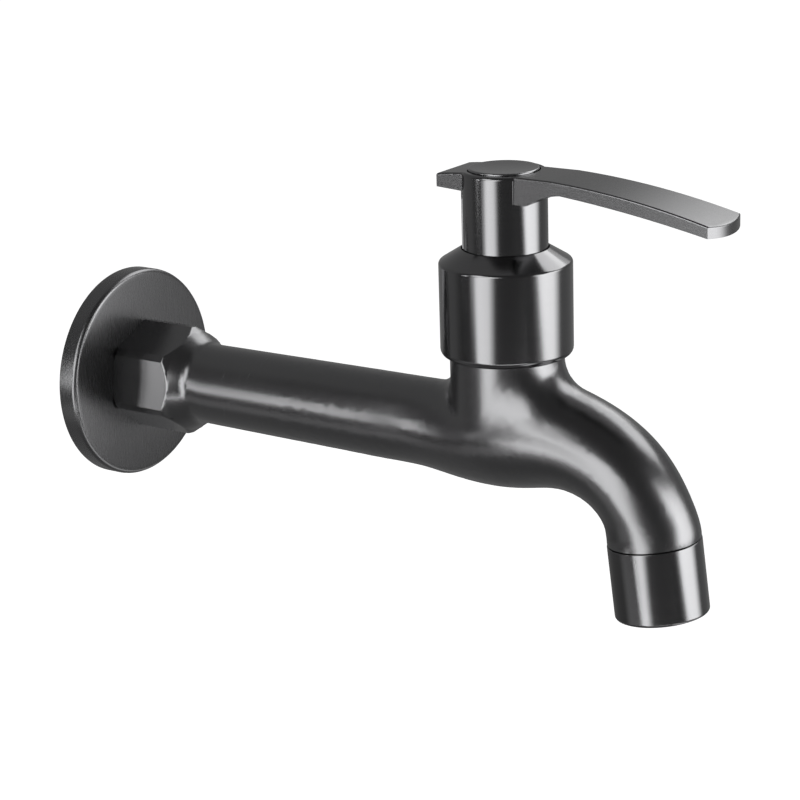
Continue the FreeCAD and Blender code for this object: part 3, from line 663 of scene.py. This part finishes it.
    def done(self, place: Place | None = None, angle: float = 30.0) -> bpy.types.Object:
        """Put the piece where it belongs and smooth its shading.

        Args:
            place: Where it belongs, if it was drawn at the origin.
            angle: Edges sharper than this stay crisp, in degrees.

        Returns:
            The finished piece, its object at the origin.
        """
        self.clear()
        piece = self.piece
        piece.select_set(True)
        bpy.context.view_layer.objects.active = piece
        if place is not None:
            piece.matrix_world = place.value
            bpy.ops.object.transform_apply(location=True, rotation=True, scale=True)
            bpy.ops.object.mode_set(mode="EDIT")
            bpy.ops.mesh.select_all(action="SELECT")
            bpy.ops.mesh.normals_make_consistent(inside=False)
            bpy.ops.object.mode_set(mode="OBJECT")
        bpy.ops.object.shade_smooth_by_angle(angle=math.radians(angle))
        modifier = piece.modifiers.new("weighted_normal", "WEIGHTED_NORMAL")
        modifier.keep_sharp = True
        modifier.weight = 60
        bpy.ops.object.modifier_apply(modifier=modifier.name)
        self.clear()
        return piece


def fit(piece: bpy.types.Object, body: str, slot: str, finish: Finish, *nodes: str) -> None:
    """Join a new piece to the part.

    Args:
        piece: The finished piece.
        body: The body that it moves with.
        slot: The record's material slot; not used.
        finish: What it is dressed in.
        nodes: The CAD nodes that it stands for.
    """
    finish.dress(piece)
    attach(piece, body)
    if nodes:
        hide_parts(*nodes)
    faces = len(piece.data.polygons)
    log.info("%s: %d faces, stands for %s", piece.name, faces, ", ".join(nodes) or "itself")


def dress_nodes(finish: Finish, *nodes: str) -> None:
    """Give CAD nodes that stay their finish.

    Args:
        finish: What they are dressed in.
        nodes: Their names.
    """
    for node in nodes:
        finish.dress(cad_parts[node])
        log.info("%s: keeps its CAD shape", node)


def share_of(value: float) -> float:
    """A value kept between 0 and 1."""
    return min(1.0, max(0.0, value))


# Sub-assemblies


@dataclass
class WallPlate:
    """The round cover plate against the wall. Sizes in millimetres.

    Attributes:
        crown: How far the face falls off towards the rim.
    """

    radius: float = 30.1
    depth: float = FLANGE_DEPTH
    sheet: float = 1.2
    bend: float = 1.3
    back_edge: float = 0.3
    hole: float = 10.6775
    hole_edge: float = 0.25
    flat_radius: float = 13.0
    crown: float = 0.5
    crown_rings: int = 8
    points: int = 200

    def crown_ring(self, share: float) -> Ring:
        """One ring of the face, which falls off gently towards the rim."""
        radius = self.flat_radius + (self.radius - self.flat_radius) * share
        return radius, self.depth - self.crown * share**2

    def build(self) -> None:
        """Turn the pressed plate, with its rolled rim and open back."""
        inner_radius = self.radius - self.sheet
        rim_front = self.depth - self.crown
        rim_back = rim_front - self.sheet
        back = self.depth - self.sheet
        foot = [(inner_radius, 0.0), (self.radius, 0.0)]
        steps = range(self.crown_rings, -1, -1)
        face = [self.crown_ring(step / self.crown_rings) for step in steps]
        inside = [(self.hole, back), (self.flat_radius, back), (inner_radius, rim_back)]
        rings = [*foot, *face, (self.hole, self.depth), *inside]
        bench = Bench.turned("wall_cover_plate", rings, self.points)
        bench.join_ends()
        bench.soften_ring((self.radius, rim_front), self.bend, steps=6)
        bench.soften_ring((self.radius, 0.0), self.back_edge, steps=2)
        bench.soften_ring((self.hole, self.depth), self.hole_edge, steps=2)
        fit(bench.done(Place.INLET), "tap", "flange_metal", PLATE, "wall_flange")


@dataclass
class ForgedBody:
    """The forged body with its tube, chamber and spout. Sizes in millimetres, angles in degrees.

    Attributes:
        hexagon_start: Where the hexagon starts, just behind the wall plate's face.
        front_start: Just behind the front end of the hexagon's flats.
        hexagon_end: Just past the last edge between the hexagon and the dome.
        hexagon_core: Radius inside which nothing is rounded.
        dome_dip: How far the dome's flank is hollowed.
        dome_core: Radius inside which it isn't hollowed.
        cut: Where the plain inlet is cut off and the threaded end starts.
    """

    edge: float = 0.45
    front_edge: float = 0.5
    sharp: float = 20.0
    hexagon_start: float = FLANGE_DEPTH - 0.1
    front_start: float = 23.95
    hexagon_end: float = 27.0
    hexagon_core: float = 12.0
    hexagon_turn: float = -6.5
    dome_start: float = 25.5
    dome_end: float = 31.5
    dome_core: float = 11.0
    dome_dip: float = 0.14
    cut: float = 3.0

    def build(self) -> None:
        """Cut the plain inlet off, round the hexagon's edges and turn it."""
        bench = Bench.copy("forged_body", "tap_body")
        bench.cut_off(self.cut)
        bench.join_ends()
        bench.pick(self.on_front, self.sharp)
        bench.soften(self.front_edge, steps=4)
        bench.pick(self.on_hexagon, self.sharp)
        bench.soften(self.edge, steps=3, clamp=True)
        bench.reshape(self.turn_hexagon)
        fit(bench.done(angle=CRISP), "tap", "body_metal", FORGED, "tap_body")

    def on_hexagon(self, spot: Vector) -> bool:
        """Whether a place lies on the outside of the hexagon or on its border with the dome."""
        outside = math.hypot(spot.y, spot.z) > self.hexagon_core
        return outside and self.hexagon_start < spot.x < self.hexagon_end

    def on_front(self, spot: Vector) -> bool:
        """Whether a place lies on the hexagon's border with the dome."""
        return self.on_hexagon(spot) and spot.x > self.front_start

    def turn_hexagon(self, spot: Vector) -> Vector:
        """Turn the hexagon with the dome to where it sits in the photograph.

        Args:
            spot: A corner's place.

        Returns:
            Its new place, also a little hollowed on the dome's flank.
        """
        if spot.x > self.dome_end:
            return spot
        reach = math.hypot(spot.y, spot.z)
        if spot.x > self.dome_start and reach > self.dome_core:
            share = (spot.x - self.dome_start) / (self.dome_end - self.dome_start)
            dip = 1.0 - self.dome_dip * math.sin(math.pi * share) / reach
            spot = Vector((spot.x, spot.y * dip, spot.z * dip))
        return Matrix.Rotation(math.radians(self.hexagon_turn), 3, "X") @ spot


@dataclass
class InletThread:
    """The threaded end that goes into the wall. Sizes in millimetres, angles in degrees.

    Attributes:
        relief: Radius where the thread has run out.
        flank: How steeply its flanks rise, from 0 at the root to 1 at the crest.
        root_flat: How much of that rise the flat root takes up.
        end: Where the forging takes over.
        run_out: Over what length it runs out.
        wall_start: Radius inside which the bore's wall stays as it is.
    """

    bore: float = 7.25
    root: float = 9.3155
    crest: float = 10.4775
    relief: float = 9.6
    pitch: float = 1.8143
    flank: float = 1.25
    root_flat: float = 0.125
    start: float = -15.0
    thread_end: float = 0.4
    end: float = ForgedBody.cut
    run_out: float = 1.6
    wall_start: float = 7.35
    rows_per_turn: int = 8
    columns: int = 96
    crisp: float = 40.0

    def radius(self, along: float, turn: float) -> float:
        """Outer radius of the thread.

        Args:
            along: Place along the axis.
            turn: Place round the axis, as a share of a turn.

        Returns:
            The radius there, which runs out at both ends of the thread.
        """
        phase = (along / self.pitch - turn) % 1.0
        height = share_of(self.flank * (1.0 - abs(2.0 * phase - 1.0)) - self.root_flat)
        fade = share_of((self.thread_end - along) / self.run_out)
        lead = share_of((along - self.start) / self.run_out)
        full = self.root + (self.crest - self.root) * height * lead
        return full * fade + self.relief * (1.0 - fade)

    def build(self) -> None:
        """Turn a sleeve with many rings and cut the thread into its wall."""
        step = self.pitch / self.rows_per_turn
        rows = int((self.thread_end - self.start) / step)
        wall = [(self.relief, self.start + step * row) for row in range(rows + 1)]
        rings = [(self.bore, self.start), *wall, (self.relief, self.end), (self.bore, self.end)]
        bench = Bench.turned("inlet_thread", rings, self.columns)
        bench.join_ends()
        bench.reshape(self.cut_thread)
        fit(bench.done(Place.INLET, self.crisp), "tap", "body_metal", THREAD)

    def cut_thread(self, spot: Vector) -> Vector:
        """Move one corner of the wall to the thread's surface.

        Args:
            spot: The corner's place.

        Returns:
            Its new place.
        """
        reach = math.hypot(spot.x, spot.y)
        if reach < self.wall_start or spot.z > self.thread_end:
            return spot
        share = self.radius(spot.z, math.atan2(spot.y, spot.x) / math.tau) / reach
        return Vector((spot.x * share, spot.y * share, spot.z))


@dataclass
class ValveSleeve:
    """The turned cover over the neck. Sizes in millimetres.

    Attributes:
        thread: Radius of the thread at its foot.
        mouth: Radius of the hole that the hub stands in.
    """

    radius: float = 17.42
    foot: float = 22.75
    top: float = 51.25
    wall: float = 1.9
    cone: float = 3.7
    foot_round: float = 1.9
    shoulder_round: float = 0.5
    thread: float = 14.04
    thread_top: float = 29.25
    mouth: float = 11.44
    mouth_edge: float = 0.15
    points: int = 192

    def build(self) -> None:
        """Turn the sleeve with its cone and rounded foot."""
        cone_foot = self.top - self.cone
        inner_radius = self.radius - self.wall
        foot = [(self.thread, self.foot), (self.radius, self.foot)]
        shoulder = [(self.radius, cone_foot), (self.mouth, self.top)]
        inside = [(self.mouth, self.top - self.wall), (inner_radius, cone_foot - self.wall)]
        thread = [(inner_radius, self.thread_top), (self.thread, self.thread_top)]
        rings = [*foot, *shoulder, *inside, *thread]
        bench = Bench.turned("sleeve_cover", rings, self.points)
        bench.join_ends()
        bench.soften_ring((self.radius, self.foot), self.foot_round, steps=6)
        bench.soften_ring((self.radius, cone_foot), self.shoulder_round, steps=4)
        bench.soften_ring((self.mouth, self.top), self.mouth_edge, steps=2)
        fit(bench.done(Place.VALVE), "tap", "sleeve_metal", SLEEVE, "valve_sleeve")


@dataclass
class Handle:
    """The hub, the lever and the cap that turn together. Sizes in millimetres, angles in degrees.

    Attributes:
        half_width: Half the width of the hub's slot.
        slot_foot: Just under the slot's floor.
        slot_top: Just over the hub's top.
        near_hub: How closely an edge of the slot lies on the hub's outside.
        near_slot: How closely it lies on the slot's side.
        lever_start: Reach from the valve axis past which the lever's edges are rounded.
        under_edge: Rounding of the lever's edges that the CAD left sharp.
        cap_middle: Radius of the flat in the dish's middle.
    """

    hub_radius: float = 11.14
    half_width: float = 7.8
    slot_edge: float = 0.6
    slot_foot: float = 64.3
    slot_top: float = 70.62
    near_hub: float = 0.02
    near_slot: float = 0.005
    lever_start: float = 11.19
    under_edge: float = 0.3
    sharp: float = 25.0
    stem_radius: float = 4.6
    stem_foot: float = 68.85
    cap_radius: float = 9.18
    cap_foot: float = 70.05
    cap_top: float = 72.05
    cap_edge: float = 0.4
    cap_rim: float = 0.9
    cap_dish: float = 0.35
    cap_rings: int = 7
    cap_middle: float = 0.5
    dish_edge: float = 0.3

    def build(self) -> None:
        """Make the three pieces and dress the screw under them."""
        self.build_hub()
        self.build_lever()
        self.build_cap()
        dress_nodes(STEEL, "handle_screw")

    def build_hub(self) -> None:
        """Round the upright edges of the hub's slot."""
        bench = Bench.copy("hub_turned", "handle_hub")
        bench.pick(self.on_slot_edge)
        bench.soften(self.slot_edge, steps=4)
        fit(bench.done(angle=CRISP), "handle", "handle_metal", HUB, "handle_hub")

    def on_slot_edge(self, spot: Vector) -> bool:
        """Whether a place lies on an upright edge of the slot, on the hub's outside.

        Args:
            spot: The place.

        Returns:
            True on such an edge.
        """
        on_hub = abs(self.reach(spot) - self.hub_radius) < self.near_hub
        on_side = abs(abs(spot.y) - self.half_width) < self.near_slot
        return on_hub and on_side and self.slot_foot < spot.z < self.slot_top

    @staticmethod
    def reach(spot: Vector) -> float:
        """Distance of a place from the valve axis."""
        return math.hypot(spot.x - VALVE_REACH, spot.y)

    def build_lever(self) -> None:
        """Round the lever's edges that the CAD left sharp."""
        bench = Bench.copy("lever_blade", "handle_lever")
        bench.pick(self.is_outside, self.sharp)
        bench.soften(self.under_edge, steps=2, clamp=True)
        fit(bench.done(angle=CRISP), "handle", "handle_metal", LEVER, "handle_lever")

    def is_outside(self, spot: Vector) -> bool:
        """Whether a place on the lever lies outside the hub."""
        return self.reach(spot) > self.lever_start

    def build_cap(self) -> None:
        """Turn the cap, slightly dished inside its rim."""
        dish_start = self.cap_radius - self.cap_rim
        dish = []
        for index in range(self.cap_rings + 1):
            share = 1.0 - index / self.cap_rings
            radius = self.cap_middle + (dish_start - self.cap_middle) * share
            dish.append((radius, self.cap_top - self.cap_dish * (1.0 - share**2)))
        stem = [(self.stem_radius, self.stem_foot), (self.stem_radius, self.cap_foot)]
        rim = [(self.cap_radius, self.cap_foot), (self.cap_radius, self.cap_top)]
        bench = Bench.turned("hub_cap", [*stem, *rim, *dish])
        bench.fill_ends()
        bench.soften_ring((self.cap_radius, self.cap_top), self.cap_edge, steps=4)
        bench.soften_ring((dish_start, self.cap_top), self.dish_edge, steps=3)
        fit(bench.done(Place.VALVE), "handle", "handle_metal", CAP, "handle_cap")


@dataclass
class Headwork:
    """The working parts under the sleeve."""

    def build(self) -> None:
        """Dress the parts that keep their CAD shape."""
        dress_nodes(BRASS, "headwork_housing", "spindle")
        dress_nodes(RUBBER, "headwork_gasket", "seat_seal")
        dress_nodes(RUBBER, "spindle_o_ring_lower", "spindle_o_ring_upper")
        dress_nodes(CERAMIC, "fixed_disc", "moving_disc")
        dress_nodes(PLASTIC, "thrust_washer")
        dress_nodes(STEEL, "spindle_clip")


@dataclass
class OutletCap:
    """The screwed cap at the spout's end. Sizes in millimetres.

    Attributes:
        seam: Gap between the cap and the spout.
        lip: Radius of the hole at its lower end.
    """

    radius: float = 12.33
    length: float = 19.9
    seam: float = 0.3
    seam_edge: float = 0.25
    thread: float = 10.5175
    lip: float = 9.3
    lip_height: float = 3.0
    lip_edge: float = 0.3
    foot_round: float = 0.8

    def build(self) -> None:
        """Turn the cap and dress what it holds."""
        lip_start = self.length - self.lip_height
        outside = [(self.thread, self.seam), (self.radius, self.seam), (self.radius, self.length)]
        inside = [(self.lip, self.length), (self.lip, lip_start), (self.thread, lip_start)]
        bench = Bench.turned("outlet_cap", [*outside, *inside])
        bench.join_ends()
        bench.soften_ring((self.radius, self.seam), self.seam_edge, steps=3)
        bench.soften_ring((self.radius, self.length), self.foot_round, steps=5)
        bench.soften_ring((self.lip, self.length), self.lip_edge, steps=3)
        fit(bench.done(Place.OUTLET), "tap", "nozzle_metal", NOZZLE, "aerator_housing")
        dress_nodes(RUBBER, "aerator_washer")
        dress_nodes(PLASTIC, "aerator_filter", "aerator_core")
        dress_nodes(STEEL, "aerator_screen")


# Studio


def stand(name: str, thing: bpy.types.ID, place: Matrix) -> bpy.types.Object:
    """Stand a lamp or the camera in the scene.

    Args:
        name: The object's name.
        thing: The lamp or camera that it holds.
        place: Its place and turn.

    Returns:
        The new object.
    """
    holder = bpy.data.objects.new(name, thing)
    bpy.context.scene.collection.objects.link(holder)
    holder.matrix_world = place
    return holder


@dataclass(frozen=True)
class SoftBox:
    """A soft lamp, placed by the direction in which the tap sees it.

    Attributes:
        name: The lamp's name.
        azimuth: Its direction from +X, in degrees.
        elevation: Its height above the level, in degrees.
        width: Its width, in metres.
        height: Its height, in metres.
        glow: Its radiance at its left edge, seen from behind it, where 1 is white.
        far_glow: Its radiance at its other edge.
        roll: Its turn in its own plane, in degrees.
        soft: Share of its width over which each side fades out.
        distance: How far off it stands, in metres.
    """

    name: str
    azimuth: float
    elevation: float
    width: float
    height: float
    glow: float
    far_glow: float
    roll: float = 0.0
    soft: float = 0.28
    distance: float = 1.2

    def hang(self, middle: Vector) -> None:
        """Hang the lamp and aim it.

        Args:
            middle: The tap's middle, in metres.
        """
        lamp = bpy.data.lights.new(self.name, "AREA")
        lamp.shape = "RECTANGLE"
        lamp.size = self.width
        lamp.size_y = self.height
        lamp.energy = math.pi * self.width * self.height
        lamp.use_nodes = True
        board = Board(lamp.node_tree)
        across = board.apart(board.out(board.add("NewGeometry"), "Parametric"))[0]
        stops = [(0.0, 0.0), (self.soft, 1.0), (1.0 - self.soft, 1.0), (1.0, 0.0)]
        cloth = board.ramp(across, stops)
        glow = cloth * (across * (self.far_glow - self.glow) + self.glow)
        board.finish("Light", board.glow(glow))
        turn = math.radians(self.azimuth)
        rise = math.radians(self.elevation)
        level = math.cos(rise)
        away = Vector((math.cos(turn) * level, math.sin(turn) * level, math.sin(rise)))
        aim = away.to_track_quat("Z", "Y").to_matrix().to_4x4()
        roll = Matrix.Rotation(math.radians(self.roll), 4, "Z")
        place = Matrix.Translation(middle + away * self.distance) @ aim @ roll
        stand(self.name, lamp, place).visible_camera = False


LAMPS = (
    SoftBox("left_softbox", -88.3, 1.2, 0.8, 1.17, 4.6, 3.2, -25.5),
    SoftBox("left_high_softbox", -108.4, 27.6, 0.54, 0.77, 2.4, 4.9),
    SoftBox("tube_strip", -127.4, 2.4, 0.1, 0.4, 7.4, 8.9),
    SoftBox("low_strip", -67.0, -28.0, 2.5, 0.06, 5.4, 7.0, soft=0.05),
    SoftBox("right_softbox", 19.0, 3.6, 1.42, 0.97, 6.2, 3.9, -15.7),
    SoftBox("high_softbox", 77.7, 41.4, 1.5, 0.54, 4.4, 1.8),
    SoftBox("floor_bounce", 25.3, -53.2, 1.9, 0.44, 1.9, 0.8, -5.0, 0.1),
    SoftBox("back_softbox", 99.0, 28.0, 0.56, 0.44, 1.3, 0.5),
    SoftBox("lever_card", -112.5, -10.8, 0.34, 0.14, 1.25, 1.4, soft=0.2),
    SoftBox("hexagon_card", -133.5, -4.0, 0.16, 0.2, 1.6, 4.0),
)


@dataclass
class Studio:
    """Camera, floor, white surroundings, soft lamps and a tent of grey cloth.

    Sizes are in metres, angles in degrees, and the camera's lens and sensor in millimetres.

    Attributes:
        azimuth: How far round to the right of the tap's side the camera stands.
        room_light: Strength of the white surroundings.
        floor_paint: How much light the floor throws back.
        floor_glow: What brightens it where it is seen.
        tent_front: Brightness of the tent's wall on the camera's side.
        tent_turn: Where back becomes front, in tent radii towards the camera plus 0.5.
        skirt_front: Brightness of the skirt below it on that side.
        skirt_height: Where wall becomes skirt.
        skirt_fade: Over what height it does.
        hem: How far off the floor the skirt starts to become the tent's bottom.
        hem_fade: Over what height it does.
        middle: The tap's middle, which the lamps are aimed at.
    """

    camera_place: tuple[float, float, float] = (0.466229, -0.530535, 0.202215)
    azimuth: float = 34.89
    elevation: float = 16.98
    roll: float = -1.77
    lens: float = 112.5
    sensor: float = 36.0
    clip: tuple[float, float] = (0.05, 50.0)
    room_light: float = 0.3
    floor_height: float = -1.1
    floor_size: float = 24.0
    floor_cells: int = 8
    floor_paint: float = 0.9
    floor_glow: float = 0.8
    tent_radius: float = 1.5
    tent_top: float = 2.4
    tent_gap: float = 0.02
    tent_sides: int = 64
    tent_front: float = 0.1
    tent_back: float = 0.27
    tent_turn: tuple[float, float] = (0.35, 0.65)
    skirt_front: float = 0.5
    skirt_back: float = 0.16
    skirt_height: float = -0.6
    skirt_fade: float = 0.1
    hem: float = 0.06
    hem_fade: float = 0.05
    middle: Vector = field(default_factory=lambda: Vector((0.1, 0.0, 0.02)))

    def build(self) -> None:
        """Set up the whole studio."""
        self.set_camera()
        self.set_world()
        self.lay_floor()
        self.pitch_tent()
        for lamp in LAMPS:
            lamp.hang(self.middle)
        bpy.context.scene.view_settings.view_transform = "Standard"

    def set_camera(self) -> None:
        """Stand the camera where the photograph was taken."""
        turn = math.radians(self.azimuth)
        rise = math.radians(self.elevation)
        roll = math.radians(self.roll)
        level = math.cos(rise)
        back = Vector((math.sin(turn) * level, -math.cos(turn) * level, math.sin(rise)))
        right = Vector((math.cos(turn), math.sin(turn), 0.0))
        rolled_right = right * math.cos(roll) + back.cross(right) * math.sin(roll)
        rolled_up = back.cross(rolled_right)
        camera = bpy.data.cameras.new("camera")
        camera.lens = self.lens
        camera.sensor_width = self.sensor
        camera.clip_start, camera.clip_end = self.clip
        axes = Matrix((rolled_right, rolled_up, back)).transposed().to_4x4()
        place = Matrix.Translation(self.camera_place) @ axes
        bpy.context.scene.camera = stand("camera", camera, place)

    @staticmethod
    def seen(board: Board) -> Signal:
        """Tell what is seen from what only gives light.

        Args:
            board: The board to draw on.

        Returns:
            1 for what the camera sees, straight, mirrored or through glass, and 0 for light.
        """
        path = board.add("LightPath")
        rays = board.out(path, "Is Camera Ray") + board.out(path, "Is Glossy Ray")
        return board.maths("MINIMUM", rays + board.out(path, "Is Transmission Ray"), 1.0)

    def set_world(self) -> None:
        """White surroundings for what is seen, plain light for the rest."""
        world = bpy.data.worlds.new("white_room")
        world.use_nodes = True
        bpy.context.scene.world = world
        board = Board(world.node_tree)
        strength = self.seen(board) * (1.0 - self.room_light) + self.room_light
        sky = board.add("Background", None, {"Color": WHITE, "Strength": strength})
        board.finish("World", board.out(sky))

    def lay_floor(self) -> None:
        """Lay the pale floor, as far below the tap as in a wash room."""
        Bench.clear()
        bpy.ops.mesh.primitive_grid_add(
            x_subdivisions=self.floor_cells,
            y_subdivisions=self.floor_cells,
            size=self.floor_size,
            location=(self.middle.x, 0.0, self.floor_height),
        )
        floor = bpy.context.active_object
        floor.name = "floor"
        material, board = blank_material("pale_floor")
        paint = (self.floor_paint, self.floor_paint, self.floor_paint, 1.0)
        matt = board.out(board.add("BsdfDiffuse", None, {"Color": paint}))
        glow = board.glow(self.seen(board) * self.floor_glow)
        board.finish("Material", board.out(board.add("AddShader", None, {0: matt, 1: glow})))
        floor.data.materials.append(material)

    def pitch_tent(self) -> None:
        """Stand a tent of grey cloth round the tap, which only the metal mirrors."""
        Bench.clear()
        height = self.tent_top - self.floor_height
        bpy.ops.mesh.primitive_cylinder_add(
            vertices=self.tent_sides,
            radius=self.tent_radius,
            depth=height,
            end_fill_type="NGON",
            location=(self.middle.x, 0.0, self.floor_height + self.tent_gap + height / 2),
        )
        tent = bpy.context.active_object
        tent.name = "grey_tent"
        bpy.ops.object.transform_apply(location=True, rotation=True, scale=True)
        material, board = blank_material("grey_cloth")
        board.finish("Material", board.glow(self.cloth(board)))
        tent.data.materials.append(material)
        tent.visible_camera = False
        tent.visible_diffuse = False
        tent.visible_shadow = False
        tent.visible_transmission = False

    def cloth(self, board: Board) -> Signal:
        """Draw how bright the tent's cloth is.

        Args:
            board: The board of the cloth's material.

        Returns:
            The brightness, which differs from front to back and from wall to skirt.
        """
        across, aside, up = board.apart(board.place())
        turn = math.radians(self.azimuth)
        ahead = math.sin(turn) / self.tent_radius
        beside = math.cos(turn) / self.tent_radius
        towards = across * ahead - aside * beside
        back_end, front_start = self.tent_turn
        front = board.ramp(towards + 0.5, [(back_end, 0.0), (front_start, 1.0)])
        low = board.ramp((self.skirt_height - up) * (1.0 / self.skirt_fade) + 0.5)
        bottom = board.ramp((self.floor_height + self.hem - up) * (1.0 / self.hem_fade))
        wall = front * (self.tent_front - self.tent_back) + self.tent_back
        skirt = front * (self.skirt_front - self.skirt_back) + self.skirt_back
        return wall + low * (1.0 - bottom) * (skirt - wall)


def main() -> None:
    """Build the tap piece by piece, then its studio."""
    logging.basicConfig(level=logging.INFO, format="%(message)s")
    wall_end = (WallPlate(), ForgedBody(), InletThread())
    valve_end = (ValveSleeve(), Headwork(), Handle(), OutletCap())
    for assembly in (*wall_end, *valve_end, Studio()):
        log.info("building %s", type(assembly).__name__)
        assembly.build()


if __name__ == "__main__":
    main()
